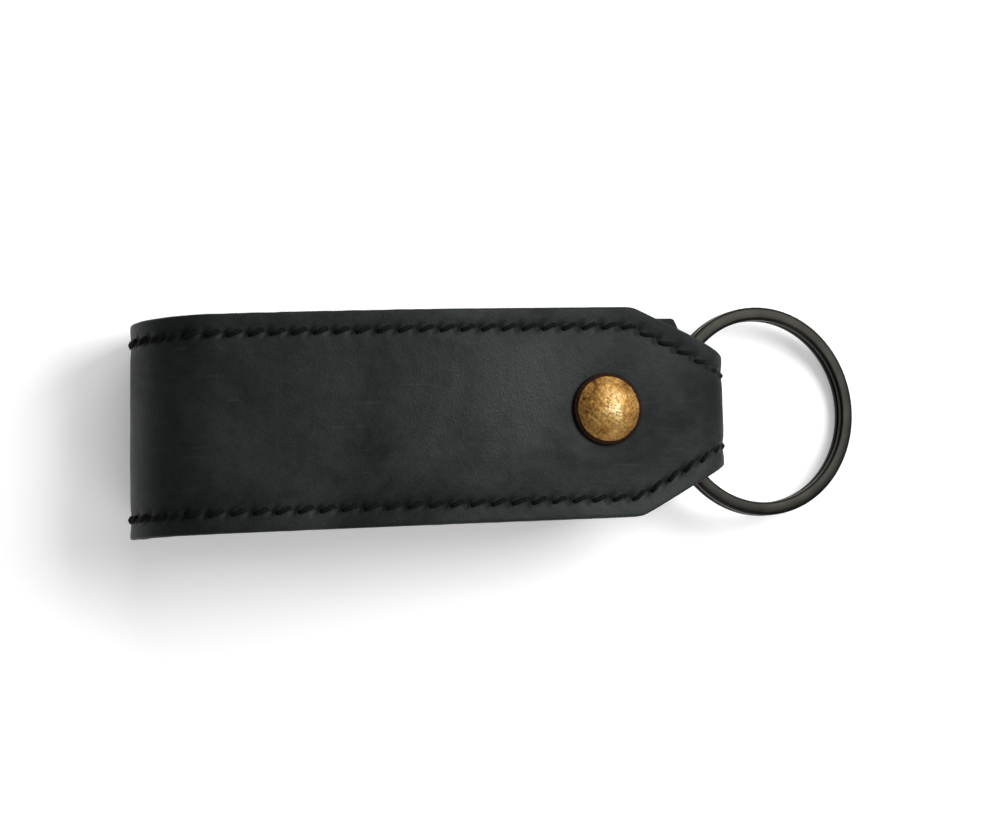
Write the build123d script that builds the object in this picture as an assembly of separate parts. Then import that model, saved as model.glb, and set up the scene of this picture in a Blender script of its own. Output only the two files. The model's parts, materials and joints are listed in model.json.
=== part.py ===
"""Leather wristlet keychain: a stitched two-layer strap, folded into a hand loop and held round a split ring
by one double-cap rivet.

X runs along the strap, with the hand loop's bend at -X and the split ring at +X. Y runs across the strap and
Z is up. The origin is the middle of the length and width, on the surface that the keychain lies on. All sizes
are in millimetres and all angles are in degrees.

The side view is drawn by walking along the glue line between the two leathers. A stretch is (length, turn):
the turn is positive to the left, and 0 on a straight stretch.
"""
import os
from math import asin, cos, degrees, radians, sin

from build123d import *

os.makedirs("parts", exist_ok=True)

# Strap
STRAP_WIDTH = 38.0
OUTER_THICKNESS = 1.6
LINING_THICKNESS = 1.2
STRAP_THICKNESS = OUTER_THICKNESS + LINING_THICKNESS

# Side view of the hand loop: radii are those of the strap's outer face
BEND_LOWER_RADIUS = 12.0
BEND_UPPER_RADIUS = 15.0
FLAT_LENGTH = 12.0          # back of the loop that lies flat
BACK_RISE_ANGLE = 26.0
BACK_RISE_RADIUS = 36.0
BACK_LEVEL_RADIUS = 30.0
FRONT_STEP = 14.0           # length of each stretch of the loop's front
FRONT_TURNS = (-3.0, -2.0, -3.0, -2.5)
TAB_SLOPE = 9.0             # the riveted tab falls this much towards the ring
LEVELLING_LENGTH = 6.0      # where the front turns to the tab's slope
CLAMPED_LENGTH = 8.0        # straight in front of the rivet

# Tab and fold, measured from the rivet along the tab
TAB_STRAIGHT = 15.3
SHOULDER_RADIUS = 14.0
SHOULDER_TURN = 20.0
FOLD_INNER_RADIUS = 3.4
FOLD_FLAT = 2.5             # the tail runs level this far before it climbs back to the rivet
CLIMB_ANGLE = 42.0
CLIMB_RADIUS = 6.0
TAIL_END = -9.0
BACK_END = 5.0

# Outline of the tab, from above
TAPER_START = 5.9           # rivet to the shoulders of the front leaf
NECK_HALF_WIDTH = 9.9
FRONT_NECK_LENGTH = 0.6
TAIL_NECK_LENGTH = 4.0
TAPER_CORNER_RADIUS = 3.0
TAIL_HALF_WIDTH = 18.0
TAIL_TAPER_LEFT = 17.4      # the tail is cut a little askew, so its two shoulders differ
TAIL_TAPER_RIGHT = 6.5
BACK_END_CHAMFER = 4.0

# Seams
SEAM_MARGIN = 3.5           # edge of the strap to the middle of a row
THREAD_WIDTH = 0.9
THREAD_DEPTH = 0.45
SEAM_END_GAP = 2.5

# Rivet
RIVET_OFFSET = 0.5          # the hole was punched this far to the left of the middle
HOLE_DIAMETER = 3.2
STEM_DIAMETER = 2.2
CAP_DIAMETER = 13.0
CAP_HEIGHT = 2.05
BACK_CAP_DIAMETER = 10.6
BACK_CAP_HEIGHT = 1.25
CAP_WALL = 0.35
CAP_RIM_HEIGHT = 0.5
CAP_RIM_ROLL = 0.25         # radius that rounds the rim over
CAP_RIM_WALL = 0.55         # the rim is folded under, so its wall is thicker than the dome's
CAP_CLEARANCE = 0.1         # between the rolled rim and the flange it grips
CAP_RIM_DROP = 0.05         # the folded edge lies this much lower than the rim
FLANGE_DIAMETER = 9.2
FLANGE_THICKNESS = 0.4
SOCKET_FLOOR = 0.3          # socket's closed end below the tab's face
POST_TIP = 0.4              # post's tip below the tab's face
SOCKET_SHORT = 0.4          # the socket stops this far above the post's flange

# Split ring
RING_DIAMETER = 39.0
RING_WIRE_WIDTH = 2.5
RING_WIRE_HEIGHT = 1.4
RING_COIL_GAP = 0.06
RING_EDGE_RADIUS = 0.4
RING_JOG_ANGLE = 24.0       # where the wire crosses from one coil to the other
JOG_STEPS = 4
RING_REACH = 14.6           # middle of the fold to the middle of the ring
HINGE_BACK = 1.8            # the ring rocks about a line this far behind the middle of the fold


def walk(start, heading, stretches):
    """Return the point and heading where a walk along the glue line ends."""
    x, z = start
    for length, turn in stretches:
        middle = radians(heading + turn / 2)
        half_turn = radians(turn) / 2
        chord = length if turn == 0 else length * sin(half_turn) / half_turn
        x += chord * cos(middle)
        z += chord * sin(middle)
        heading += turn
    return (x, z), heading


def offset_point(point, heading, offset):
    """Return the point that lies offset to the left of a heading."""
    return (point[0] - offset * sin(radians(heading)), point[1] + offset * cos(radians(heading)))


def offset_edges(start, heading, stretches, offset):
    """Return the edges of a walk, moved offset to its left."""
    edges = []
    for length, turn in stretches:
        begin = offset_point(start, heading, offset)
        finish, next_heading = walk(start, heading, [(length, turn)])
        if turn == 0:
            edges.append(Line(begin, offset_point(finish, next_heading, offset)))
        else:
            radius = length / radians(abs(turn)) - offset * (1 if turn > 0 else -1)
            tangent = (cos(radians(heading)), sin(radians(heading)))
            edges.append(JernArc(begin, tangent, radius, turn))
        start, heading = finish, next_heading
    return edges


def band(start, heading, stretches, low, high, width=STRAP_WIDTH):
    """Return the solid between two offsets of a walk, extruded across the strap."""
    lower = offset_edges(start, heading, stretches, low)
    upper = offset_edges(start, heading, stretches, high)
    ends = [Line(lower[0] @ 0, upper[0] @ 0), Line(lower[-1] @ 1, upper[-1] @ 1)]
    face = make_face(lower + upper + ends)
    return extrude(Plane.XZ * face, width / 2, both=True)


def arc(radius, turn):
    """Return a curved stretch of the glue line."""
    return (radius * radians(abs(turn)), turn)


# The glue line, walked from where the loop leaves the flat: left round the bend, and right to the tail
flat_start = (0.0, OUTER_THICKNESS)
loop_stretches = [
    arc(BEND_LOWER_RADIUS - OUTER_THICKNESS, -90.0),
    arc(BEND_UPPER_RADIUS - OUTER_THICKNESS, -90.0),
]
loop_stretches += [(FRONT_STEP, turn) for turn in FRONT_TURNS]
loop_stretches.append((LEVELLING_LENGTH, -TAB_SLOPE - sum(FRONT_TURNS)))
loop_stretches.append((CLAMPED_LENGTH, 0.0))
rivet_glue, rivet_heading = walk(flat_start, 180.0, loop_stretches)
rivet_top = offset_point(rivet_glue, rivet_heading, OUTER_THICKNESS)
tab = Plane(
    origin=(rivet_top[0], 0, rivet_top[1]),
    x_dir=(cos(radians(TAB_SLOPE)), 0, -sin(radians(TAB_SLOPE))),
    z_dir=(sin(radians(TAB_SLOPE)), 0, cos(radians(TAB_SLOPE))),
)


def on_tab(along, height):
    """Return the side-view point at a place along the tab and a height over its face at the rivet."""
    place = tab.from_local_coords((along, 0, height))
    return (place.X, place.Z)


# The fold round the ring, in the tab's own directions
fold_radius = FOLD_INNER_RADIUS + LINING_THICKNESS
quarter_turn = 90.0
shoulder_stretches = [(TAB_STRAIGHT, 0.0), arc(SHOULDER_RADIUS, -SHOULDER_TURN)]
front_fold_stretches = shoulder_stretches + [arc(fold_radius, -(quarter_turn - SHOULDER_TURN))]
fold_side, fold_heading = walk(rivet_glue, rivet_heading, front_fold_stretches)
fold_middle = offset_point(fold_side, fold_heading, -fold_radius)
fold_local = tab.to_local_coords(Vector(fold_middle[0], 0, fold_middle[1]))
fold_along = fold_local.X
fold_height = fold_local.Z
fold_end = fold_along + fold_radius + OUTER_THICKNESS

# The tail comes back under the strap's other end, three straps deep at the rivet
tail_glue_height = -3 * STRAP_THICKNESS + OUTER_THICKNESS
fold_floor = fold_height - fold_radius
climb_arcs = 2 * CLIMB_RADIUS * (1 - cos(radians(CLIMB_ANGLE)))
climb_length = (tail_glue_height - fold_floor - climb_arcs) / sin(radians(CLIMB_ANGLE))
climb_run = 2 * CLIMB_RADIUS * sin(radians(CLIMB_ANGLE)) + climb_length * cos(radians(CLIMB_ANGLE))
tail_level_start = fold_along - FOLD_FLAT - climb_run
tail_stretches = [
    arc(fold_radius, -quarter_turn),
    (FOLD_FLAT, 0.0),
    arc(CLIMB_RADIUS, -CLIMB_ANGLE),
    (climb_length, 0.0),
    arc(CLIMB_RADIUS, CLIMB_ANGLE),
    (tail_level_start - TAIL_END, 0.0),
]

# The back of the loop leaves the flat to the right and rises to lie between the tab's two leaves
back_glue_height = -2 * STRAP_THICKNESS + OUTER_THICKNESS
rise_arc = arc(BACK_RISE_RADIUS, BACK_RISE_ANGLE)
level_arc = arc(BACK_LEVEL_RADIUS, -(BACK_RISE_ANGLE + TAB_SLOPE))
curve_end, back_heading = walk(flat_start, 0.0, [(FLAT_LENGTH, 0.0), rise_arc, level_arc])
curve_end_height = tab.to_local_coords(Vector(curve_end[0], 0, curve_end[1])).Z
slant_length = (back_glue_height - curve_end_height) / sin(radians(BACK_RISE_ANGLE + TAB_SLOPE))
back_curves = [(FLAT_LENGTH, 0.0), rise_arc, (slant_length, 0.0), level_arc]
level_point, back_heading = walk(flat_start, 0.0, back_curves)
level_along = tab.to_local_coords(Vector(level_point[0], 0, level_point[1])).X
back_stretches = back_curves + [(BACK_END - level_along, 0.0)]


def prism(outline, low, high):
    """Return an outline in the tab's plane as a solid between two heights over the tab."""
    return tab.offset(low) * extrude(outline, high - low)


def tab_outline(left_shoulder, right_shoulder, half_width, neck_start):
    """Return the tab's outline from far behind the rivet to past the fold."""
    behind = -60.0
    beyond = fold_end + 4.0
    points = [
        (behind, -half_width),
        (right_shoulder, -half_width),
        (neck_start, -NECK_HALF_WIDTH),
        (beyond, -NECK_HALF_WIDTH),
        (beyond, NECK_HALF_WIDTH),
        (neck_start, NECK_HALF_WIDTH),
        (left_shoulder, half_width),
        (behind, half_width),
    ]
    outline = make_face(Polyline(*points, close=True))
    shoulders = [v for v in outline.vertices() if behind < v.X < neck_start - 1]
    return fillet(shoulders, TAPER_CORNER_RADIUS)


def seam_rows(outline):
    """Return the two seam rows of an outline, each a strip as wide as the thread."""
    wide = offset(outline, -(SEAM_MARGIN - THREAD_WIDTH / 2), kind=Kind.INTERSECTION)
    narrow = offset(outline, -(SEAM_MARGIN + THREAD_WIDTH / 2), kind=Kind.INTERSECTION)
    rows = wide - narrow
    room = Rectangle(LONGER_THAN_STRAP, STRAP_WIDTH, align=(Align.CENTER, Align.MIN))
    return rows & room, rows & mirror(room, Plane.XZ)


front_outline = tab_outline(TAPER_START, TAPER_START, STRAP_WIDTH / 2, fold_end - FRONT_NECK_LENGTH)
tail_outline = tab_outline(TAIL_TAPER_LEFT, TAIL_TAPER_RIGHT, TAIL_HALF_WIDTH, fold_end - TAIL_NECK_LENGTH)
above_all = 10.0
below_all = -30.0
LONGER_THAN_STRAP = 400.0


def strap_layer(low, high, trim=0.0):
    """Return the four lengths of one layer of the strap, between two offsets to the outside of the loop.

    The lengths are the loop, the tab's front leaf, the tail and the back of the loop. trim shortens the ends.
    """
    tail = tail_stretches[:-1] + [(tail_stretches[-1][0] - trim, 0.0)]
    back = back_stretches[:-1] + [(back_stretches[-1][0] - trim, 0.0)]
    return {
        "loop": band(flat_start, 180.0, loop_stretches, low, high),
        "front": band(rivet_glue, rivet_heading, front_fold_stretches, low, high),
        "tail": band(fold_side, fold_heading, tail, low, high),
        "back": band(flat_start, 0.0, back, -high, -low),
    }


def cut_to_outline(lengths):
    """Return one layer of the strap as one solid, cut to the outlines of its two ends."""
    front = lengths["front"] & prism(front_outline, below_all, above_all)
    tail = lengths["tail"] & prism(tail_outline, below_all, above_all)
    end_chamfer = Polyline(
        (BACK_END - BACK_END_CHAMFER, STRAP_WIDTH),
        (BACK_END - BACK_END_CHAMFER, STRAP_WIDTH / 2),
        (BACK_END + 1, STRAP_WIDTH / 2 - BACK_END_CHAMFER - 1),
        (BACK_END + 1, STRAP_WIDTH),
        close=True,
    )
    corner = prism(make_face(end_chamfer), below_all, above_all)
    back = lengths["back"] - corner - mirror(corner, Plane.XZ)
    return (lengths["loop"] + front + tail + back).clean()


def seam_thread(low, high, side):
    """Return the thread that lies in one face of the strap, on one side (+1 or -1) of its middle."""
    row_y = side * (STRAP_WIDTH / 2 - SEAM_MARGIN)
    straight = Pos(0, row_y, 0) * Box(LONGER_THAN_STRAP, THREAD_WIDTH, LONGER_THAN_STRAP)
    pick = 0 if side > 0 else 1
    lengths = strap_layer(low, high, SEAM_END_GAP)
    front_row = prism(seam_rows(front_outline)[pick], below_all, above_all)
    tail_row = prism(seam_rows(tail_outline)[pick], below_all, above_all)
    thread = lengths["loop"] & straight
    thread += lengths["back"] & straight
    thread += lengths["front"] & front_row
    thread += lengths["tail"] & tail_row
    return thread.clean()


def turned(profile):
    """Return a profile, drawn as (radius, height over the tab), turned about the rivet's axis."""
    return tab * Pos(0, RIVET_OFFSET, 0) * revolve(Plane.XZ * profile, Axis.Z)


def dome_arc(edge_radius, edge_height, top_height):
    """Return half of a dome's outline: an arc, centred on the rivet's axis, from its edge to its top."""
    rise = top_height - edge_height
    sphere = (edge_radius**2 + rise**2) / (2 * rise)
    half_angle = asin(edge_radius / sphere) / 2
    halfway = (sphere * sin(half_angle), top_height - sphere * (1 - cos(half_angle)))
    return ThreePointArc((edge_radius, edge_height), halfway, (0, top_height))


def rivet_shell(diameter, height):
    """Return the section of a domed cap that stands on height 0, with its edge rolled under."""
    rim = diameter / 2
    roll_start = rim - CAP_RIM_ROLL
    inside = FLANGE_DIAMETER / 2 + CAP_CLEARANCE
    inner_edge = roll_start - CAP_RIM_WALL
    inner_top = height - CAP_WALL
    fold_height_inside = CAP_RIM_HEIGHT - CAP_RIM_DROP
    return make_face([
        Line((inside, 0), (roll_start, 0)),
        ThreePointArc((roll_start, 0), (rim, CAP_RIM_HEIGHT / 2), (roll_start, CAP_RIM_HEIGHT)),
        dome_arc(roll_start, CAP_RIM_HEIGHT, height),
        Line((0, height), (0, inner_top)),
        dome_arc(inner_edge, CAP_RIM_HEIGHT, inner_top),
        Line((inner_edge, CAP_RIM_HEIGHT), (inside, fold_height_inside)),
        Line((inside, fold_height_inside), (inside, 0)),
    ])


# Rivet pieces
stack = 3 * STRAP_THICKNESS
flange = FLANGE_DIAMETER / 2
hole = HOLE_DIAMETER / 2
stem = STEM_DIAMETER / 2
socket_profile = make_face(Polyline(
    (0, FLANGE_THICKNESS),
    (flange, FLANGE_THICKNESS),
    (flange, 0),
    (hole, 0),
    (hole, SOCKET_SHORT - stack),
    (stem, SOCKET_SHORT - stack),
    (stem, -SOCKET_FLOOR),
    (0, -SOCKET_FLOOR),
    close=True,
))
post_profile = make_face(Polyline(
    (0, -POST_TIP),
    (stem, -POST_TIP),
    (stem, -stack),
    (flange, -stack),
    (flange, -stack - FLANGE_THICKNESS),
    (0, -stack - FLANGE_THICKNESS),
    close=True,
))
back_shell = Pos(0, -stack) * mirror(rivet_shell(BACK_CAP_DIAMETER, BACK_CAP_HEIGHT), Plane.XZ)
rivet_hole = tab * Pos(0, RIVET_OFFSET, -stack) * Cylinder(hole, 4 * stack)

# Split ring, tipped so that its far edge touches the surface that the strap lies on
coil_rise = RING_WIRE_HEIGHT + RING_COIL_GAP
ring_radius = RING_DIAMETER / 2
ring_half_height = RING_WIRE_HEIGHT + RING_COIL_GAP / 2
ring_slope = degrees(asin((fold_middle[1] - ring_half_height) / (RING_REACH + ring_radius)))
ring_middle = (
    fold_middle[0] + RING_REACH * cos(radians(ring_slope)),
    fold_middle[1] - RING_REACH * sin(radians(ring_slope)),
)
ring_plane = Plane(
    origin=(ring_middle[0], 0, ring_middle[1]),
    x_dir=(cos(radians(ring_slope)), 0, -sin(radians(ring_slope))),
    z_dir=(sin(radians(ring_slope)), 0, cos(radians(ring_slope))),
)


def wire_section(angle, height):
    """Return the wire's rounded section at an angle round the ring and a height over its middle plane."""
    section = RectangleRounded(RING_WIRE_WIDTH, RING_WIRE_HEIGHT, RING_EDGE_RADIUS)
    reach = ring_radius - RING_WIRE_WIDTH / 2
    return Rot(0, 0, angle) * Pos(reach, 0, height) * Rot(90, 0, 0) * section


def split_ring():
    """Return the ring: two flat coils of one wire, joined where it crosses between them."""
    low = -coil_rise / 2
    high = coil_rise / 2
    jog_start = 180 - RING_JOG_ANGLE / 2
    jog_end = 180 + RING_JOG_ANGLE / 2
    lower = revolve(wire_section(jog_end, low), Axis.Z, 360 - RING_JOG_ANGLE)
    upper = revolve(wire_section(jog_end, high), Axis.Z, 360 - RING_JOG_ANGLE)
    sections = []
    for step in range(JOG_STEPS + 1):
        share = step / JOG_STEPS
        ease = share * share * (3 - 2 * share)
        sections.append(wire_section(jog_start + share * RING_JOG_ANGLE, low + ease * coil_rise))
    jog = loft(sections)
    return ring_plane * (lower + upper + jog)


# Pieces
threads = {
    "seam_thread_left_outer": seam_thread(OUTER_THICKNESS - THREAD_DEPTH, OUTER_THICKNESS, 1),
    "seam_thread_right_outer": seam_thread(OUTER_THICKNESS - THREAD_DEPTH, OUTER_THICKNESS, -1),
    "seam_thread_left_inner": seam_thread(-LINING_THICKNESS, THREAD_DEPTH - LINING_THICKNESS, 1),
    "seam_thread_right_inner": seam_thread(-LINING_THICKNESS, THREAD_DEPTH - LINING_THICKNESS, -1),
}
outer_leather = cut_to_outline(strap_layer(0.0, OUTER_THICKNESS)) - rivet_hole
outer_leather -= threads["seam_thread_left_outer"] + threads["seam_thread_right_outer"]
lining_leather = cut_to_outline(strap_layer(-LINING_THICKNESS, 0.0)) - rivet_hole
lining_leather -= threads["seam_thread_left_inner"] + threads["seam_thread_right_inner"]
pieces = {
    "outer_leather": outer_leather,
    "lining_leather": lining_leather,
    "rivet_front_cap": turned(rivet_shell(CAP_DIAMETER, CAP_HEIGHT)),
    "rivet_socket": turned(socket_profile),
    "rivet_post": turned(post_profile),
    "rivet_back_cap": turned(back_shell),
    "split_ring": split_ring(),
}
pieces.update(threads)

# Stand the whole keychain with the origin at the bottom centre of its box
box = Compound([solid for piece in pieces.values() for solid in piece.solids()]).bounding_box()
to_origin = Pos(-box.center().X, 0, -box.min.Z)
for name, piece in pieces.items():
    solids = (to_origin * piece).solids()
    export_step(solids[0] if len(solids) == 1 else Compound(solids), f"parts/{name}.step")

# Places that the joint and the mounts use
hinge = (
    fold_middle[0] - HINGE_BACK * cos(radians(ring_slope)),
    fold_middle[1] + HINGE_BACK * sin(radians(ring_slope)),
)
shift = (-box.center().X, -box.min.Z)
for label, point in (
    ("hinge", hinge),
    ("ring middle", ring_middle),
    ("fold middle", fold_middle),
    ("rivet face", rivet_top),
    ("flat start", flat_start),
):
    print(f"{label}: x {point[0] + shift[0]:.3f}, z {point[1] + shift[1]:.3f}")
print(f"ring slope {ring_slope:.2f}, box {box.size}")
all_stretches = loop_stretches + front_fold_stretches + tail_stretches + back_stretches
print(f"strap cut length {sum(length for length, turn in all_stretches):.1f}")
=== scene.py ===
"""Leather wristlet keychain, dressed on its fixed frame.

The strap's side view is walked along the glue line between its two leathers, in millimetres, exactly as the frame's
solids are built. Everything else is placed from the frame. Mesh coordinates are in metres.
"""
import json
from math import atan2, cos, exp, pi, radians, sin, sqrt, tan

import bpy
import numpy as np
from mathutils import Matrix, Vector, noise

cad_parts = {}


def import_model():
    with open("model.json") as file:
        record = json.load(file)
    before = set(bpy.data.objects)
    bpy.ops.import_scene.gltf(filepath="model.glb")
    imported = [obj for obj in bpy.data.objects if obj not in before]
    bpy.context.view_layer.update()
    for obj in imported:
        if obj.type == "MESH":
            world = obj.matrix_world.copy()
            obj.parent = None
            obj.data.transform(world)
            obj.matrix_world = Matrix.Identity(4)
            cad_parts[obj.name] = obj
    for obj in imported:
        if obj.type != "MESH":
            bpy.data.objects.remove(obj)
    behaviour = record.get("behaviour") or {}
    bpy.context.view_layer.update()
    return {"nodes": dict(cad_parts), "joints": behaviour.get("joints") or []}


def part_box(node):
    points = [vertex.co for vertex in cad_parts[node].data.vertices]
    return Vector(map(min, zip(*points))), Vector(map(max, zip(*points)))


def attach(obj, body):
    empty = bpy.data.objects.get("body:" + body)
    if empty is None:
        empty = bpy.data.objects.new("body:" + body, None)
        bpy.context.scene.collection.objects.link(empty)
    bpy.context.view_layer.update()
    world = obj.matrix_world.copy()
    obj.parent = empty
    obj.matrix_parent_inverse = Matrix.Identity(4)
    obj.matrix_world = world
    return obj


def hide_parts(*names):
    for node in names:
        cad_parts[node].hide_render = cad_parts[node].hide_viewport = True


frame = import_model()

MM = 0.001

# Strap, in millimetres and degrees, as in the frame
STRAP_WIDTH = 38.0
OUTER = 1.6
LINING = 1.2
BEND_LOWER_RADIUS = 12.0
BEND_UPPER_RADIUS = 15.0
FLAT_LENGTH = 12.0
BACK_RISE_ANGLE = 26.0
BACK_RISE_RADIUS = 36.0
BACK_LEVEL_RADIUS = 30.0
FRONT_STEP = 14.0
FRONT_TURNS = (-3.0, -2.0, -3.0, -2.5)
TAB_SLOPE = 9.0
LEVELLING_LENGTH = 6.0
CLAMPED_LENGTH = 8.0
TAB_STRAIGHT = 15.3
SHOULDER_RADIUS = 14.0
SHOULDER_TURN = 20.0
FOLD_INNER_RADIUS = 3.4
FOLD_FLAT = 2.5
CLIMB_ANGLE = 42.0
CLIMB_RADIUS = 6.0
TAIL_END = -9.0
BACK_END = 5.0
TAPER_START = 5.9
NECK_HALF_WIDTH = 9.9
FRONT_NECK_LENGTH = 0.6
TAIL_NECK_LENGTH = 4.0
TAPER_ROUNDING = 0.3
CHAMFER_ROUNDING = 0.6
TAIL_HALF_WIDTH = 18.0
TAIL_TAPER_LEFT = 17.4
TAIL_TAPER_RIGHT = 6.5
BACK_END_CHAMFER = 4.0

# Leather surface
STATION = 0.38              # length of one step of the strap's mesh
EDGE_ROUNDING = 0.45
GLUE_EDGE_ROUNDING = 0.16
GLUE_LINE_INSET = 0.03
CHANNEL_DEPTH = 0.20        # the seams press a shallow channel
CHANNEL_WIDTH = 1.5
CAP_PRESS_DEPTH = 0.28      # the cap presses the leather down round it
CAP_PRESS_RADIUS = 8.5
SETTLING = 0.04             # the whole face lies this much under its solid's
BACK_SHIFT = 0.9            # the loop's back lies this far to the left of its front
SKEW = 2.05                 # the loop's bend is this much out of square
FOLD_SKEW = 1.6             # and the fold round the ring is this much

# Seams
SEAM_MARGIN = 3.5
SEAM_END_GAP = 2.5
STITCH_PITCH = 3.8
STITCH_GAP = 0.95           # hole between one stitch and the next
STITCH_SLANT = 0.50         # each end lies this far to one side of the row
THREAD_HALF_WIDTH = 0.42
THREAD_HALF_HEIGHT = 0.32
THREAD_SINK = 0.58          # a stitch's ends lie this deep in their holes
THREAD_RISE = 0.60
THREAD_FOLD_SINK = 0.22     # the stitches lie deeper where the strap folds
HOLE_DEPTH = 0.55
HOLE_HALF_LENGTH = 0.52
HOLE_HALF_WIDTH = 0.85
HOLE_SLANT = 0.55
HOLE_REACH = 1.6            # no hole reaches further than this from its row

# Rivet and ring
RIVET_OFFSET = 0.5
CAP_RADIUS = 6.5
CAP_HEIGHT = 2.05
BACK_CAP_RADIUS = 5.3
BACK_CAP_HEIGHT = 1.25
RING_RADIUS = 19.5
RING_WIRE_WIDTH = 2.5
RING_WIRE_HEIGHT = 1.4
RING_COIL_GAP = 0.06
RING_JOG_ANGLE = 24.0
RING_SIDE_SQUARENESS = 0.5  # 1 would be a round wire, and less is squarer
RING_FACE_SQUARENESS = 0.62


def smoothstep(value):
    """Return 0 below 0, 1 above 1 and a smooth rise between."""
    value = min(max(value, 0.0), 1.0)
    return value * value * (3 - 2 * value)


def soft_min(a, b, width):
    """Return the smaller of two numbers, rounded where they meet."""
    return 0.5 * (a + b - sqrt((a - b) ** 2 + width * width))


def soft_max(a, b, width):
    """Return the larger of two numbers, rounded where they meet."""
    return -soft_min(-a, -b, width)


# ---------------------------------------------------------------- the strap's side view
def arc(radius, turn):
    """Return a curved stretch of the glue line."""
    return (radius * radians(abs(turn)), turn)


def walk(start, heading, stretches):
    """Return the point and heading where a walk along the glue line ends."""
    x, z = start
    for length, turn in stretches:
        middle = radians(heading + turn / 2)
        half_turn = radians(turn) / 2
        chord = length if turn == 0 else length * sin(half_turn) / half_turn
        x += chord * cos(middle)
        z += chord * sin(middle)
        heading += turn
    return (x, z), heading


def stations(start, heading, stretches):
    """Return (x, z, heading) about every STATION along a walk."""
    places = []
    for length, turn in stretches:
        steps = max(1, round(length / STATION))
        for step in range(steps):
            share = step / steps
            (x, z), there = walk(start, heading, [(length * share, turn * share)])
            places.append((x, z, there))
        start, heading = walk(start, heading, [(length, turn)])
    places.append((start[0], start[1], heading))
    return places


outer_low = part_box("outer_leather")[0]
flat_start = (outer_low.x / MM + BEND_LOWER_RADIUS, OUTER)
loop_stretches = [arc(BEND_LOWER_RADIUS - OUTER, -90.0), arc(BEND_UPPER_RADIUS - OUTER, -90.0)]
loop_stretches += [(FRONT_STEP, turn) for turn in FRONT_TURNS]
loop_stretches += [(LEVELLING_LENGTH, -TAB_SLOPE - sum(FRONT_TURNS)), (CLAMPED_LENGTH, 0.0)]
rivet_glue, rivet_heading = walk(flat_start, 180.0, loop_stretches)

tab_along = Vector((cos(radians(TAB_SLOPE)), 0, -sin(radians(TAB_SLOPE))))
tab_up = Vector((sin(radians(TAB_SLOPE)), 0, cos(radians(TAB_SLOPE))))
rivet_top = Vector((rivet_glue[0], 0, rivet_glue[1])) + OUTER * tab_up


def on_tab(x, z):
    """Return a side-view point as (along the tab from the rivet, height over the tab's face)."""
    reach = Vector((x, 0, z)) - rivet_top
    return reach.dot(tab_along), reach.dot(tab_up)


strap = OUTER + LINING
fold_radius = FOLD_INNER_RADIUS + LINING
front_stretches = [
    (TAB_STRAIGHT, 0.0),
    arc(SHOULDER_RADIUS, -SHOULDER_TURN),
    arc(fold_radius, -(90.0 - SHOULDER_TURN)),
]
fold_side, fold_heading = walk(rivet_glue, rivet_heading, front_stretches)
fold_side_along, fold_height = on_tab(*fold_side)
fold_along = fold_side_along - fold_radius
fold_end = fold_side_along + OUTER
tail_height = -3 * strap + OUTER
climb_arcs = 2 * CLIMB_RADIUS * (1 - cos(radians(CLIMB_ANGLE)))
climb_length = (tail_height - fold_height + fold_radius - climb_arcs) / sin(radians(CLIMB_ANGLE))
climb_run = 2 * CLIMB_RADIUS * sin(radians(CLIMB_ANGLE)) + climb_length * cos(radians(CLIMB_ANGLE))
tail_stretches = [
    arc(fold_radius, -90.0),
    (FOLD_FLAT, 0.0),
    arc(CLIMB_RADIUS, -CLIMB_ANGLE),
    (climb_length, 0.0),
    arc(CLIMB_RADIUS, CLIMB_ANGLE),
    (fold_along - FOLD_FLAT - climb_run - TAIL_END, 0.0),
]
rise_arc = arc(BACK_RISE_RADIUS, BACK_RISE_ANGLE)
level_arc = arc(BACK_LEVEL_RADIUS, -(BACK_RISE_ANGLE + TAB_SLOPE))
curve_end = walk(flat_start, 0.0, [(FLAT_LENGTH, 0.0), rise_arc, level_arc])[0]
slant_length = (-2 * strap + OUTER - on_tab(*curve_end)[1]) / sin(radians(BACK_RISE_ANGLE + TAB_SLOPE))
back_stretches = [(FLAT_LENGTH, 0.0), rise_arc, (slant_length, 0.0), level_arc]
level_point = walk(flat_start, 0.0, back_stretches)[0]
back_stretches.append((BACK_END - on_tab(*level_point)[0], 0.0))

# One run of stations from the back's end, round the loop, over the fold and to the tail's end
back_run = [(x, z, there + 180.0) for x, z, there in reversed(stations(flat_start, 0.0, back_stretches))]
loop_run = stations(flat_start, 180.0, loop_stretches)
front_run = stations(rivet_glue, rivet_heading, front_stretches)
tail_run = stations(fold_side, fold_heading, tail_stretches)
run = back_run[:-1] + loop_run[:-1] + front_run[:-1] + tail_run
loop_first = len(back_run) - 1
front_first = loop_first + len(loop_run) - 1
tail_first = front_first + len(front_run) - 1
distance = [0.0]
for (x0, z0, _), (x1, z1, _) in zip(run, run[1:]):
    distance.append(distance[-1] + sqrt((x1 - x0) ** 2 + (z1 - z0) ** 2))


def surface(station, offset):
    """Return the side-view point at an offset to the outside of the strap."""
    x, z, there = run[station]
    return x - offset * sin(radians(there)), z + offset * cos(radians(there))


def tapered(along, wide, shoulder, neck_start, inset):
    """Return the half width of a tapered end, moved in from its edge by inset."""
    slope = (wide - NECK_HALF_WIDTH) / (neck_start - shoulder)
    line = NECK_HALF_WIDTH + slope * (neck_start - along) - inset * sqrt(1 + slope * slope)
    tapering = soft_min(wide - inset, line, TAPER_ROUNDING)
    return soft_max(tapering, NECK_HALF_WIDTH - inset, TAPER_ROUNDING)


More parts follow.
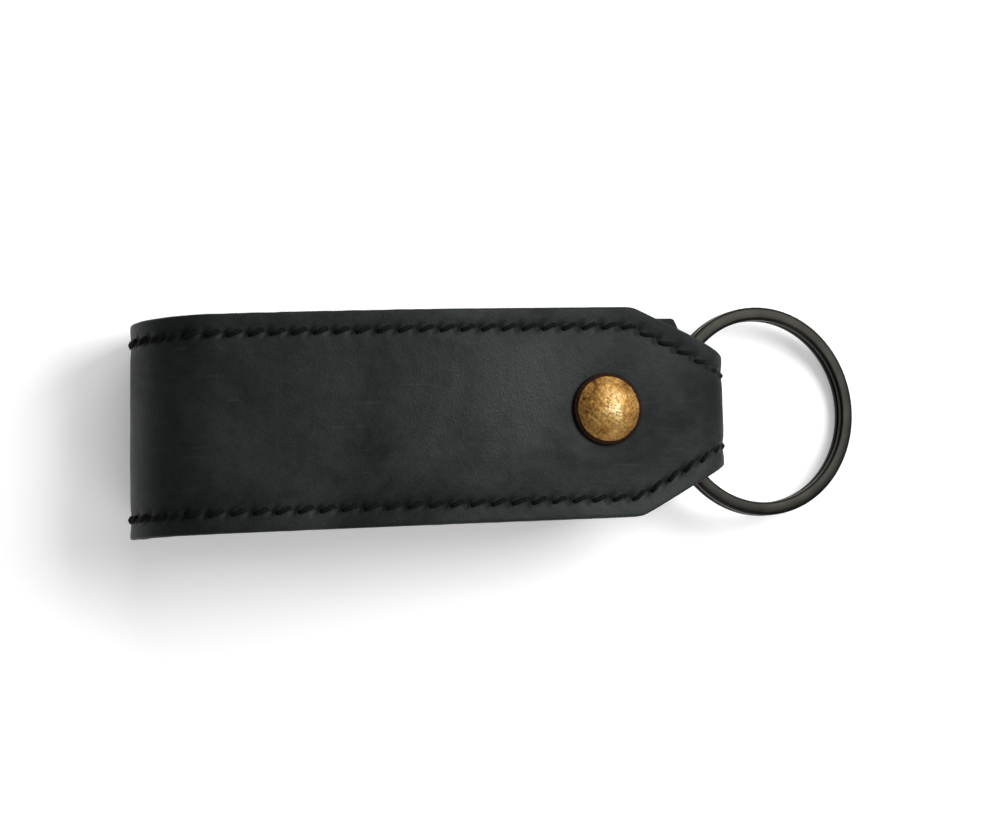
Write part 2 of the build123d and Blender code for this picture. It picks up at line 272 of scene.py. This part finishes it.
def half_width(station, side, offset, inset=0.0):
    """Return the strap's half width at a station, on one side (+1 or -1)."""
    along = on_tab(*surface(station, offset))[0]
    if station < loop_first:
        chamfer = STRAP_WIDTH / 2 - BACK_END_CHAMFER + (BACK_END - along)
        return soft_min(STRAP_WIDTH / 2, chamfer, CHAMFER_ROUNDING) - inset
    if station < front_first:
        return STRAP_WIDTH / 2 - inset
    if station < tail_first:
        return tapered(along, STRAP_WIDTH / 2, TAPER_START, fold_end - FRONT_NECK_LENGTH, inset)
    shoulder = TAIL_TAPER_LEFT if side > 0 else TAIL_TAPER_RIGHT
    return tapered(along, TAIL_HALF_WIDTH, shoulder, fold_end - TAIL_NECK_LENGTH, inset)


bend_middle = loop_first + round(1.5 * BEND_LOWER_RADIUS / STATION)


def skewed(station, x, y, z):
    """Return a point in metres, with the bend a little out of square and the loop's back a little to its left."""
    skew = tan(radians(SKEW)) * smoothstep((rivet_top.x - 30.0 - x) / 60.0)
    skew += tan(radians(FOLD_SKEW)) * smoothstep((x - rivet_top.x - 8.0) / 10.0)
    lower = smoothstep((bend_middle - station) / (bend_middle - loop_first))
    to_end = smoothstep(station / loop_first)
    sway = BACK_SHIFT * lower * (0.2 + 0.8 * to_end)
    return ((x + y * skew) * MM, (y + sway) * MM, z * MM)


# ---------------------------------------------------------------- mesh helpers
def make_object(name, verts, faces, material, sharp=40.0):
    """Return a smooth-shaded mesh object."""
    mesh = bpy.data.meshes.new(name)
    mesh.from_pydata(verts, [], faces)
    mesh.validate()
    mesh.shade_smooth()
    mesh.set_sharp_from_angle(angle=radians(sharp))
    mesh.materials.append(material)
    piece = bpy.data.objects.new(name, mesh)
    bpy.context.collection.objects.link(piece)
    return piece


def loft_faces(rows, columns, first=0):
    """Return the faces between rows of points, each row closed into a ring."""
    faces = []
    for row in range(rows - 1):
        for column in range(columns):
            after = (column + 1) % columns
            a = first + row * columns
            b = a + columns
            faces.append((a + column, a + after, b + after, b + column))
    return faces


def set_uv(mesh, per_vertex):
    """Give a mesh a UV map from one (u, v) per vertex."""
    layer = mesh.uv_layers.new(name="UVMap")
    index = np.empty(len(mesh.loops), dtype=np.int32)
    mesh.loops.foreach_get("vertex_index", index)
    layer.data.foreach_set("uv", np.asarray(per_vertex, dtype=np.float32)[index].ravel())


def set_shade(mesh, name, per_vertex):
    """Give a mesh a named number per vertex, for its material."""
    layer = mesh.attributes.new(name=name, type="FLOAT", domain="POINT")
    layer.data.foreach_set("value", np.asarray(per_vertex, dtype=np.float32))


# ---------------------------------------------------------------- materials
def new_material(name, metallic=0.0):
    """Return a new material with its tree, shader and a helper that adds nodes."""
    material = bpy.data.materials.new(name)
    material.use_nodes = True
    tree = material.node_tree
    shader = tree.nodes["Principled BSDF"]
    shader.inputs["Metallic"].default_value = metallic

    def add(kind, **settings):
        node = tree.nodes.new(kind)
        for key, value in settings.items():
            if key in node.inputs:
                node.inputs[key].default_value = value
            else:
                setattr(node, key, value)
        return node

    return material, tree, shader, add


def ramp(add, stops):
    """Return a colour ramp with (place, colour) stops."""
    node = add("ShaderNodeValToRGB")
    elements = node.color_ramp.elements
    while len(elements) < len(stops):
        elements.new(0.5)
    for element, (place, colour) in zip(elements, stops):
        element.position = place
        element.color = (*colour, 1.0)
    return node


def leather_material(name, dark, light, roughness, grain):
    """Return oiled leather: cloudy pull-up colour, fine grain, faint scratches, painted shade in the stitch holes,
    seam channels and round the rivet cap, and darker edges.
    """
    material, tree, shader, add = new_material(name)
    link = tree.links.new
    place = add("ShaderNodeUVMap", uv_map="UVMap")
    clouds = add("ShaderNodeTexNoise", Scale=32.0, Detail=5.0, Roughness=0.62, Distortion=0.6)
    mottle = add("ShaderNodeTexNoise", Scale=420.0, Detail=6.0, Roughness=0.7)
    fine = add("ShaderNodeTexNoise", Scale=1500.0, Detail=4.0, Roughness=0.65)
    pores = add("ShaderNodeTexVoronoi", Scale=grain, feature="DISTANCE_TO_EDGE")
    for texture in (clouds, mottle, fine, pores):
        link(place.outputs["UV"], texture.inputs["Vector"])
    colour = leather_colour(add, link, place, clouds, mottle, dark, light)
    link(colour, shader.inputs["Base Color"])

    gloss = add("ShaderNodeMapRange")
    gloss.inputs["From Min"].default_value = 0.35
    gloss.inputs["From Max"].default_value = 0.7
    gloss.inputs["To Min"].default_value = roughness + 0.13
    gloss.inputs["To Max"].default_value = roughness - 0.11
    link(clouds.outputs["Fac"], gloss.inputs["Value"])
    link(gloss.outputs["Result"], shader.inputs["Roughness"])
    shader.inputs["Specular IOR Level"].default_value = 0.13

    relief = ((pores.outputs["Distance"], 0.35, 0.00012), (fine.outputs["Fac"], 0.45, 0.0001),
              (mottle.outputs["Fac"], 0.25, 0.0003))
    link(stacked_bumps(add, link, relief), shader.inputs["Normal"])
    return material


def leather_colour(add, link, place, clouds, mottle, dark, light):
    """Return the leather's colour socket: clouds and scratches, with painted shade mixed in towards near black
    where its shade attribute says so.
    """
    stretch = add("ShaderNodeMapping", Scale=(1.0, 14.0, 1.0), Rotation=(0.0, 0.0, 0.25))
    scratches = add("ShaderNodeTexNoise", Scale=90.0, Detail=3.0, Roughness=0.8)
    link(place.outputs["UV"], stretch.inputs["Vector"])
    link(stretch.outputs["Vector"], scratches.inputs["Vector"])
    mix_cloud = add("ShaderNodeMath", operation="MULTIPLY_ADD")
    mix_cloud.inputs[1].default_value = 0.35
    link(mottle.outputs["Fac"], mix_cloud.inputs[0])
    link(clouds.outputs["Fac"], mix_cloud.inputs[2])
    between = tuple((d + l) / 2 for d, l in zip(dark, light))
    colour = ramp(add, [(0.54, dark), (0.68, between), (0.81, light)])
    link(mix_cloud.outputs[0], colour.inputs["Fac"])
    marks = ramp(add, [(0.62, (0.0, 0.0, 0.0)), (0.75, (1.0, 1.0, 1.0))])
    link(scratches.outputs["Fac"], marks.inputs["Fac"])
    scuffed = add("ShaderNodeMix", data_type="RGBA", blend_type="ADD")
    scuffed.inputs["Factor"].default_value = 0.018
    link(colour.outputs["Color"], scuffed.inputs[6])
    link(marks.outputs["Color"], scuffed.inputs[7])
    # Painted shade: the shade attribute mixes in near black in the stitch holes, the seam channels and the dip
    # round the cap; the edges and side walls are darkened the same way.
    shade = add("ShaderNodeAttribute", attribute_name="shade")
    darkened = add("ShaderNodeMix", data_type="RGBA", blend_type="MIX")
    darkened.inputs[7].default_value = (0.003, 0.0032, 0.0032, 1.0)
    link(shade.outputs["Fac"], darkened.inputs["Factor"])
    link(scuffed.outputs[2], darkened.inputs[6])
    return darkened.outputs[2]


def stacked_bumps(add, link, layers):
    """Return the normal socket of several bumps, each a (height socket, strength, distance)."""
    normal = None
    for height, strength, reach in layers:
        bump = add("ShaderNodeBump", Strength=strength, Distance=reach)
        link(height, bump.inputs["Height"])
        if normal:
            link(normal, bump.inputs["Normal"])
        normal = bump.outputs["Normal"]
    return normal


def thread_material():
    """Return waxed black thread: twisted plies with a soft sheen."""
    material, tree, shader, add = new_material("waxed_thread")
    link = tree.links.new
    place = add("ShaderNodeUVMap", uv_map="UVMap")
    plies = add("ShaderNodeTexWave", Scale=0.5, Distortion=0.6, bands_direction="DIAGONAL")
    fuzz = add("ShaderNodeTexNoise", Scale=6.0, Detail=4.0)
    link(place.outputs["UV"], plies.inputs["Vector"])
    link(place.outputs["UV"], fuzz.inputs["Vector"])
    colour = ramp(add, [(0.25, (0.0012, 0.0014, 0.0015)), (0.8, (0.0034, 0.0040, 0.0040))])
    link(plies.outputs["Fac"], colour.inputs["Fac"])
    link(colour.outputs["Color"], shader.inputs["Base Color"])
    rough = add("ShaderNodeMapRange")
    rough.inputs["To Min"].default_value = 0.55
    rough.inputs["To Max"].default_value = 0.85
    link(fuzz.outputs["Fac"], rough.inputs["Value"])
    link(rough.outputs["Result"], shader.inputs["Roughness"])
    bump = add("ShaderNodeBump", Strength=0.6, Distance=0.0001)
    link(plies.outputs["Fac"], bump.inputs["Height"])
    link(bump.outputs["Normal"], shader.inputs["Normal"])
    shader.inputs["Specular IOR Level"].default_value = 0.10
    return material


def cap_material(name, worn):
    """Return antiqued copper-gold: a worn bright middle, orange patina, dark pits, and a painted shadow round the
    rim's foot where it meets the leather.
    """
    material, tree, shader, add = new_material(name, metallic=0.85)
    link = tree.links.new
    place = add("ShaderNodeUVMap", uv_map="UVMap")
    blotches = add("ShaderNodeTexNoise", Scale=340.0, Detail=6.0, Roughness=0.7, Distortion=0.4)
    specks = add("ShaderNodeTexNoise", Scale=1500.0, Detail=5.0, Roughness=0.75)
    pits = add("ShaderNodeTexVoronoi", Scale=1500.0, Randomness=1.0)
    for texture in (blotches, specks, pits):
        link(place.outputs["UV"], texture.inputs["Vector"])
    wear_and_painted_shade = add("ShaderNodeAttribute", attribute_name="wear_and_painted_shade")
    worn_and_shaded_fac = add("ShaderNodeMath", operation="ADD")
    spread = add("ShaderNodeMath", operation="MULTIPLY_ADD")
    spread.inputs[1].default_value = 1.5
    spread.inputs[2].default_value = -0.78
    link(blotches.outputs["Fac"], spread.inputs[0])
    link(wear_and_painted_shade.outputs["Fac"], worn_and_shaded_fac.inputs[0])
    link(spread.outputs[0], worn_and_shaded_fac.inputs[1])
    # painted shadow: the darkest stop is reached where the attribute drops at the rim's foot, next to the leather
    colour = ramp(add, [
        (0.0, (0.020, 0.007, 0.003)),
        (0.16, (0.21, 0.100, 0.022)),
        (0.45, (0.32, 0.180, 0.047)),
        (0.72, (0.38, 0.270, 0.120)),
        (1.0, (0.62, 0.540, 0.390)),
    ])
    link(worn_and_shaded_fac.outputs[0], colour.inputs["Fac"])
    speck_shade = ramp(add, [(0.36, (0.35, 0.28, 0.22)), (0.50, (1.0, 1.0, 1.0))])
    link(specks.outputs["Fac"], speck_shade.inputs["Fac"])
    dirtied = add("ShaderNodeMix", data_type="RGBA", blend_type="MULTIPLY")
    dirtied.inputs["Factor"].default_value = worn
    link(colour.outputs["Color"], dirtied.inputs[6])
    link(speck_shade.outputs["Color"], dirtied.inputs[7])
    link(dirtied.outputs[2], shader.inputs["Base Color"])
    rough = add("ShaderNodeMapRange")
    rough.inputs["To Min"].default_value = 0.62
    rough.inputs["To Max"].default_value = 0.34
    link(worn_and_shaded_fac.outputs[0], rough.inputs["Value"])
    link(rough.outputs["Result"], shader.inputs["Roughness"])
    relief = ((pits.outputs["Distance"], 0.7, 0.00012), (specks.outputs["Fac"], 0.6, 0.00012))
    link(stacked_bumps(add, link, relief), shader.inputs["Normal"])
    return material


def metal_material(name, dark, light, roughness, along, across):
    """Return drawn or turned metal, with fine marks that run along its u direction."""
    material, tree, shader, add = new_material(name, metallic=1.0)
    link = tree.links.new
    place = add("ShaderNodeUVMap", uv_map="UVMap")
    stretch = add("ShaderNodeMapping", Scale=(along, across, 1.0))
    marks = add("ShaderNodeTexNoise", Scale=1.0, Detail=4.0, Roughness=0.7)
    stains = add("ShaderNodeTexNoise", Scale=160.0, Detail=4.0, Roughness=0.6)
    link(place.outputs["UV"], stretch.inputs["Vector"])
    link(stretch.outputs["Vector"], marks.inputs["Vector"])
    link(place.outputs["UV"], stains.inputs["Vector"])
    colour = ramp(add, [(0.3, dark), (0.7, light)])
    blend = add("ShaderNodeMath", operation="MULTIPLY_ADD")
    blend.inputs[1].default_value = 0.5
    halved = add("ShaderNodeMath", operation="MULTIPLY")
    halved.inputs[1].default_value = 0.5
    link(stains.outputs["Fac"], halved.inputs[0])
    link(marks.outputs["Fac"], blend.inputs[0])
    link(halved.outputs[0], blend.inputs[2])
    link(blend.outputs[0], colour.inputs["Fac"])
    link(colour.outputs["Color"], shader.inputs["Base Color"])
    rough = add("ShaderNodeMapRange")
    rough.inputs["From Min"].default_value = 0.3
    rough.inputs["From Max"].default_value = 0.7
    rough.inputs["To Min"].default_value = roughness - 0.06
    rough.inputs["To Max"].default_value = roughness + 0.1
    link(marks.outputs["Fac"], rough.inputs["Value"])
    link(rough.outputs["Result"], shader.inputs["Roughness"])
    bump = add("ShaderNodeBump", Strength=0.25, Distance=0.00003)
    link(marks.outputs["Fac"], bump.inputs["Height"])
    link(bump.outputs["Normal"], shader.inputs["Normal"])
    return material


# ---------------------------------------------------------------- seam rows
class SeamRow:
    """One seam row: its path on one face of the strap, and the places of its holes."""

    def __init__(self, side, face):
        self.side = side
        self.face = face
        offset = OUTER if face > 0 else -LINING
        first = next(i for i, d in enumerate(distance) if d > SEAM_END_GAP)
        last = next(i for i, d in enumerate(distance) if d > distance[-1] - SEAM_END_GAP)
        self.places = []
        self.normals = []
        self.stations = []
        for station in range(first, last):
            x, z = surface(station, offset)
            y = side * half_width(station, side, offset, SEAM_MARGIN)
            there = radians(run[station][2])
            self.places.append(Vector((x, y, z)))
            self.normals.append(Vector((-sin(there), 0, cos(there))) * face)
            self.stations.append(station)
        self.length = [0.0]
        for a, b in zip(self.places, self.places[1:]):
            self.length.append(self.length[-1] + (b - a).length)
        count = round(self.length[-1] / STITCH_PITCH)
        self.pitch = self.length[-1] / count
        self.holes = [i * self.pitch for i in range(count + 1)]

    def at(self, reach):
        """Return the station, point, direction and normal at a length along the row."""
        reach = min(max(reach, 0.0), self.length[-1] - 1e-6)
        i = int(np.searchsorted(self.length, reach, side="right")) - 1
        i = min(i, len(self.places) - 2)
        share = (reach - self.length[i]) / (self.length[i + 1] - self.length[i])
        point = self.places[i].lerp(self.places[i + 1], share)
        normal = self.normals[i].lerp(self.normals[i + 1], share).normalized()
        direction = (self.places[i + 1] - self.places[i]).normalized()
        return self.stations[i], point, direction, normal

    def station_at(self, reach):
        """Return the strap's distance, and the row's y, at a length along the row."""
        at = np.interp(reach, self.length, [distance[s] for s in self.stations])
        y = np.interp(reach, self.length, [place.y for place in self.places])
        return at, y


rows = {(side, face): SeamRow(side, face) for side in (1, -1) for face in (1, -1)}


def stitches(row, name, material):
    """Return one seam row's stitches: short slanting arches of thread, from hole to hole."""
    around = 10
    along = 11
    verts, faces, uvs = [], [], []
    for number, (a, b) in enumerate(zip(row.holes, row.holes[1:])):
        first = len(verts)
        jitter = noise.noise(Vector((number * 0.73, row.side * 3.1, row.face * 5.7)))
        start = a + STITCH_GAP / 2
        end = b - STITCH_GAP / 2
        for step in range(along):
            share = step / (along - 1)
            station, point, direction, normal = row.at(start + share * (end - start))
            sideways = normal.cross(direction)
            if sideways.y < 0:
                sideways = -sideways
            slant = (share - 0.5) * 2 * (STITCH_SLANT + 0.06 * jitter)
            crest = sin(pi * share) ** 0.55
            height = -THREAD_SINK + (THREAD_RISE + 0.06 * jitter) * crest
            height -= THREAD_FOLD_SINK * smoothstep((point.x - fold_side[0] + 4.0) / 3.0)
            centre = point + sideways * slant + normal * height
            fat = 0.72 + 0.28 * crest
            for corner in range(around):
                angle = 2 * pi * corner / around
                twist = 1 + 0.07 * cos(3 * angle - share * 9.0)
                across = cos(angle) * THREAD_HALF_WIDTH * fat * twist
                up = sin(angle) * THREAD_HALF_HEIGHT * fat * twist
                place = centre + sideways * across + normal * up
                place.z = max(place.z, 0.0)
                verts.append(skewed(station, *place))
                uvs.append((number + share * 4, angle))
        faces += loft_faces(along, around, first=first)
        faces.append(tuple(first + k for k in reversed(range(around))))
        faces.append(tuple(first + (along - 1) * around + k for k in range(around)))
    piece = make_object(name, verts, faces, material, sharp=70.0)
    set_uv(piece.data, uvs)
    return piece


# ---------------------------------------------------------------- leather
def section_distances():
    """Return the distances from the strap's edge, in millimetres, of the points round its edge and seam."""
    rounding = [EDGE_ROUNDING * (1 - cos(radians(angle))) for angle in (0, 22, 45, 68, 90)]
    fine = list(np.arange(EDGE_ROUNDING + 0.3, SEAM_MARGIN + 1.7, 0.23))
    return rounding + fine


EDGE_POINTS = section_distances()
MIDDLE_POINTS = 12


def hole_field(face):
    """Return a function that gives how deep in a stitch hole a place on one face is, from 0 to 1."""
    holes = {}
    for side in (1, -1):
        row = rows[(side, face)]
        holes[side] = np.array([row.station_at(reach) for reach in row.holes])

    def depth(at, y):
        marks = holes[1 if y > 0 else -1]
        near = int(np.searchsorted(marks[:, 0], at))
        deepest = 0.0
        for i in (near - 1, near):
            if 0 <= i < len(marks):
                along = at - marks[i, 0]
                across = y - marks[i, 1]
                turned = (along - HOLE_SLANT * across) / HOLE_HALF_LENGTH
                wide = across / HOLE_HALF_WIDTH
                deepest = max(deepest, exp(-(turned * turned + wide * wide)))
        return deepest

    return depth


def face_points(widths):
    """Return (y, distance from the edge) across one face of the strap, from its left edge to its right."""
    points = []
    for side, wide in widths.items():
        inner = wide - EDGE_POINTS[-1]
        profile = [wide - d for d in EDGE_POINTS]
        profile += [inner * (1 - k / MIDDLE_POINTS) for k in range(1, MIDDLE_POINTS)]
        if side > 0:
            profile.append(0.0)
        else:
            profile.reverse()
        points += [(side * p, wide - p) for p in profile]
    return points


def rounded_drop(gap):
    """Return how far the rounded edge lies under the face, at a distance from the edge."""
    inside = max(0.0, EDGE_ROUNDING - gap)
    return EDGE_ROUNDING - sqrt(max(0.0, EDGE_ROUNDING**2 - inside**2))


def face_relief(at, y, from_edge, face, hole):
    """Return how far a place on a face lies from its plain height, and how much it is darkened: painted shade in
    the holes, channels and the dip round the cap, and at the edge.
    """
    channel = exp(-(((from_edge - SEAM_MARGIN) / CHANNEL_WIDTH) ** 2))
    near_rivet = sqrt((at - distance[front_first]) ** 2 + (y - RIVET_OFFSET) ** 2) / CAP_PRESS_RADIUS
    press = exp(-(near_rivet**6)) if face > 0 else 0.0
    waves = 0.10 * noise.noise(Vector((at * 0.07, y * 0.09, face * 4.0)))
    waves += 0.025 * noise.noise(Vector((at * 0.45, y * 0.45, face * 9.0)))
    relief = waves - CHANNEL_DEPTH * channel - HOLE_DEPTH * hole - CAP_PRESS_DEPTH * press - SETTLING
    edge = max(0.0, 1 - from_edge / 0.35)
    # painted shade in the stitch holes, the seam channel and the dip round the cap; the face's edge is darkened too
    shade = 0.88 * hole + 0.45 * edge + 0.16 * channel + 0.21 * press
    return relief, min(1.0, shade)


def leather_layer(name, face, material):
    """Return one leather of the strap as a closed mesh, with rounded edges, pressed seams and stitch holes."""
    thickness = OUTER if face > 0 else LINING
    depth_at = hole_field(face)
    verts, uvs, shades = [], [], []
    for station, (x, z, there) in enumerate(run):
        normal_x = -sin(radians(there)) * face
        normal_z = cos(radians(there)) * face
        at = distance[station]
        edge_noise = 0.05 * noise.noise(Vector((at * 0.35, face * 2.0, 0.0)))
        widths = {side: half_width(station, side, thickness * face * 0.7) + edge_noise for side in (1, -1)}
        end_drop = rounded_drop(min(at, distance[-1] - at))

        def place(y, height):
            verts.append(skewed(station, x + normal_x * height, y, z + normal_z * height))

        for y, from_edge in face_points(widths):
            hole = depth_at(at, y) if abs(from_edge - SEAM_MARGIN) < HOLE_REACH else 0.0
            relief, shade = face_relief(at, y, from_edge, face, hole)
            place(y, thickness - end_drop - rounded_drop(from_edge) + relief)
            uvs.append((at * MM, y * MM))
            shades.append(shade)
        wall = [(thickness * 0.5, 0.0), (GLUE_EDGE_ROUNDING, GLUE_LINE_INSET), (0.0, GLUE_EDGE_ROUNDING)]
        for side, heights in ((-1, wall), (1, wall[::-1])):
            for height, inset in heights:
                y = side * (widths[side] - inset)
                place(y, height)
                uvs.append((at * MM, y * MM + height * MM))
                # the side walls are darkened
                shades.append(0.55)
    columns = len(verts) // len(run)
    faces = loft_faces(len(run), columns)
    last = (len(run) - 1) * columns
    faces.append(tuple(reversed(range(columns))))
    faces.append(tuple(last + k for k in range(columns)))
    if face < 0:
        faces = [tuple(reversed(f)) for f in faces]
    piece = make_object(name, verts, faces, material, sharp=62.0)
    set_uv(piece.data, uvs)
    set_shade(piece.data, "shade", shades)
    return piece


# ---------------------------------------------------------------- rivet
def cap_profile(radius, height):
    """Return a spun cap's outline as (radius, height), from the middle of its dome round its rolled rim."""
    rim_height = 0.5
    roll = 0.25
    edge = radius - roll
    rise = height - rim_height
    sphere = (edge * edge + rise * rise) / (2 * rise)
    outline = []
    for step in range(25):
        r = edge * step / 24
        outline.append((r, height - sphere + sqrt(sphere * sphere - r * r)))
    for step in range(1, 9):
        angle = radians(90 - step * 180 / 8)
        outline.append((edge + roll * cos(angle), rim_height / 2 + rim_height / 2 * sin(angle)))
    outline.append((edge - 0.9, 0.02))
    return outline


def cap(name, node, radius, height, up, material, seed):
    """Make a domed rivet cap on the tab, facing up (+1) or down (-1)."""
    around = 96
    outline = cap_profile(radius, height)
    base = rivet_top if up > 0 else rivet_top - 3 * strap * tab_up
    verts, uvs, wear_and_painted_shade = [], [], []
    for r, h in outline:
        for corner in range(around):
            angle = 2 * pi * corner / around
            a = r * cos(angle)
            b = r * sin(angle)
            lumps = 0.07 * noise.noise(Vector((a * 0.55, b * 0.55, seed)))
            lumps += 0.035 * noise.noise(Vector((a * 1.7, b * 1.7, seed + 4.0)))
            flat = smoothstep((radius - r) / 1.2)
            place = base + tab_along * a + Vector((0, b + RIVET_OFFSET, 0)) + tab_up * up * (h + lumps * flat)
            verts.append(tuple(place * MM))
            uvs.append(((a + seed * 11) * MM, b * MM))
            # The attribute holds wear in the middle, a lighter crest on the rolled rim, and painted shadow at the
            # rim's foot.
            middle = 1 - sqrt((1.5 * (a - 0.9)) ** 2 + (0.75 * b) ** 2) / (radius * 0.8)
            bright_rim = exp(-(((r - radius * 0.93) / 0.35) ** 2)) if h > 0.4 else 0.0
            # painted shadow: the rim below 0.74 mm, where it meets the leather, is taken down to near black
            low = smoothstep((0.74 - h) / 0.16)
            wear_and_painted_shade.append(0.26 + 0.55 * max(middle, 0.0) + 0.12 * bright_rim - 1.1 * low)
    faces = loft_faces(len(outline), around)
    if up > 0:
        faces = [tuple(reversed(f)) for f in faces]
    piece = make_object(name, verts, faces, material, sharp=75.0)
    set_uv(piece.data, uvs)
    set_shade(piece.data, "wear_and_painted_shade", wear_and_painted_shade)
    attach(piece, "strap")
    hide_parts(node)


# ---------------------------------------------------------------- split ring
def ring_piece(material):
    """Make the split ring: one wire in two coils, joined where it steps from one to the other."""
    low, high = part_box("split_ring")
    middle = (low + high) / 2 / MM
    hinge = Vector(frame["joints"][0]["pos_m"]) / MM
    slope = atan2(hinge.z - middle.z, middle.x - hinge.x)
    out = Vector((cos(slope), 0, -sin(slope)))
    up = Vector((sin(slope), 0, cos(slope)))
    coil_rise = RING_WIRE_HEIGHT + RING_COIL_GAP
    reach = RING_RADIUS - RING_WIRE_WIDTH / 2
    coil = 360.0 - RING_JOG_ANGLE
    total = 2 * coil + RING_JOG_ANGLE
    steps = 464
    around = 28
    verts, uvs = [], []
    for step in range(steps + 1):
        turned = total * step / steps
        angle = radians(180 + RING_JOG_ANGLE / 2 + turned)
        level = smoothstep((turned - coil) / RING_JOG_ANGLE) * coil_rise - coil_rise / 2
        arm = out * cos(angle) + Vector((0, sin(angle), 0))
        shrink = 1 - 0.25 * smoothstep(1 - min(step, steps - step) / 2)
        wobble = 0.03 * noise.noise(Vector((angle * 1.3, step * 0.004, 2.0)))
        for corner in range(around):
            t = 2 * pi * corner / around
            across = abs(cos(t)) ** RING_SIDE_SQUARENESS * (1 if cos(t) > 0 else -1) * RING_WIRE_WIDTH / 2
            tall = abs(sin(t)) ** RING_FACE_SQUARENESS * (1 if sin(t) > 0 else -1) * RING_WIRE_HEIGHT / 2
            place = middle + arm * (reach + wobble + across * shrink) + up * (level + tall * shrink)
            verts.append(tuple(place * MM))
            uvs.append((radians(turned) * reach * MM, t * 1.2 * MM))
    faces = loft_faces(steps + 1, around)
    last = steps * around
    faces.append(tuple(reversed(range(around))))
    faces.append(tuple(last + k for k in range(around)))
    piece = make_object("split_ring_wire", verts, faces, material, sharp=55.0)
    set_uv(piece.data, uvs)
    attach(piece, "ring")
    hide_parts("split_ring")


# ---------------------------------------------------------------- build the pieces
outer_leather = leather_material("oiled_leather", (0.0038, 0.0056, 0.0053), (0.0165, 0.0212, 0.0200), 0.50, 1500.0)
lining = leather_material("lining_leather", (0.0035, 0.0047, 0.0045), (0.0115, 0.0140, 0.0134), 0.6, 1900.0)
thread = thread_material()

strap_outer = leather_layer("strap_outer", 1, outer_leather)
strap_lining = leather_layer("strap_lining", -1, lining)
for piece, node, slot in (
    (strap_outer, "outer_leather", "strap_leather"),
    (strap_lining, "lining_leather", "lining_leather"),
):
    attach(piece, "strap")
    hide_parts(node)

for (side, face), row in rows.items():
    where = ("left" if side > 0 else "right") + "_" + ("outer" if face > 0 else "inner")
    piece = stitches(row, "stitches_" + where, thread)
    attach(piece, "strap")
    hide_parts("seam_thread_" + where)

cap("cap_front", "rivet_front_cap", CAP_RADIUS, CAP_HEIGHT, 1, cap_material("antique_cap", 0.75), 1.0)
cap("cap_back", "rivet_back_cap", BACK_CAP_RADIUS, BACK_CAP_HEIGHT, -1, cap_material("antique_back_cap", 0.9), 7.0)
core = metal_material("rivet_core_metal", (0.16, 0.09, 0.035), (0.36, 0.24, 0.11), 0.45, 300.0, 2600.0)
for node in ("rivet_socket", "rivet_post"):
    for material_slot in frame["nodes"][node].material_slots:
        material_slot.material = core
ring_piece(metal_material("gunmetal", (0.007, 0.0068, 0.0059), (0.0215, 0.0207, 0.0180), 0.34, 260.0, 5200.0))


# ---------------------------------------------------------------- floor, lights and camera
def floor():
    """Lay the pale floor."""
    material, _, shader, _ = new_material("pale_floor")
    shader.inputs["Base Color"].default_value = (0.92, 0.92, 0.92, 1.0)
    shader.inputs["Roughness"].default_value = 0.9
    shader.inputs["Specular IOR Level"].default_value = 0.1
    shader.inputs["Emission Color"].default_value = (1.0, 1.0, 1.0, 1.0)
    shader.inputs["Emission Strength"].default_value = 0.28
    size = 3.0
    verts = [(-size, -size, 0), (size, -size, 0), (size, size, 0), (-size, size, 0)]
    piece = make_object("floor", verts, [(0, 1, 2, 3)], material)
    piece.location.z = -0.0001


def area_light(name, place, target, width, height, power):
    """Add a soft area light aimed at a target."""
    data = bpy.data.lights.new(name, "AREA")
    data.shape = "RECTANGLE"
    data.size = width
    data.size_y = height
    data.energy = power
    lamp = bpy.data.objects.new(name, data)
    lamp.location = place
    aim = Vector(target) - Vector(place)
    lamp.rotation_euler = aim.to_track_quat("-Z", "Y").to_euler()
    bpy.context.collection.objects.link(lamp)


def camera():
    """Create the camera: nearly overhead, leaning a little towards the loop's bend."""
    distance_mm = 430.0
    lean = radians(8.62)
    toward_front = radians(-4.5)
    roll = radians(-2.80)
    target = Vector((rivet_top.x - 18.03, 1.88, 10.0))
    back = Vector((-sin(lean), sin(toward_front) * cos(lean), cos(toward_front) * cos(lean)))
    right = (-back).cross(Vector((0, 1, 0))).normalized()
    up = right.cross(-back)
    x_axis = right * cos(roll) + up * sin(roll)
    y_axis = -right * sin(roll) + up * cos(roll)
    data = bpy.data.cameras.new("camera")
    data.sensor_width = 36.0
    data.lens = 84.92
    data.clip_start = 0.01
    eye = bpy.data.objects.new("camera", data)
    turn = Matrix((x_axis, y_axis, back)).transposed().to_4x4()
    eye.matrix_world = Matrix.Translation((target + distance_mm * back) * MM) @ turn
    bpy.context.collection.objects.link(eye)
    bpy.context.scene.camera = eye


def world():
    """Light the scene with a plain bright studio."""
    studio = bpy.data.worlds.new("studio")
    studio.use_nodes = True
    background = studio.node_tree.nodes["Background"]
    background.inputs["Color"].default_value = (1.0, 1.0, 1.0, 1.0)
    background.inputs["Strength"].default_value = 0.12
    bpy.context.scene.world = studio
    bpy.context.scene.view_settings.view_transform = "Standard"


floor()
area_light("key", (0.42, 0.16, 0.46), (0.02, 0.0, 0.01), 0.34, 0.34, 3.8)
area_light("top_fill", (0.30, 0.95, 0.80), (0.0, 0.0, 0.0), 0.9, 0.7, 6.0)
area_light("front_fill", (0.30, -1.0, 0.75), (0.0, 0.0, 0.0), 0.9, 0.7, 5.5)
camera()
world()
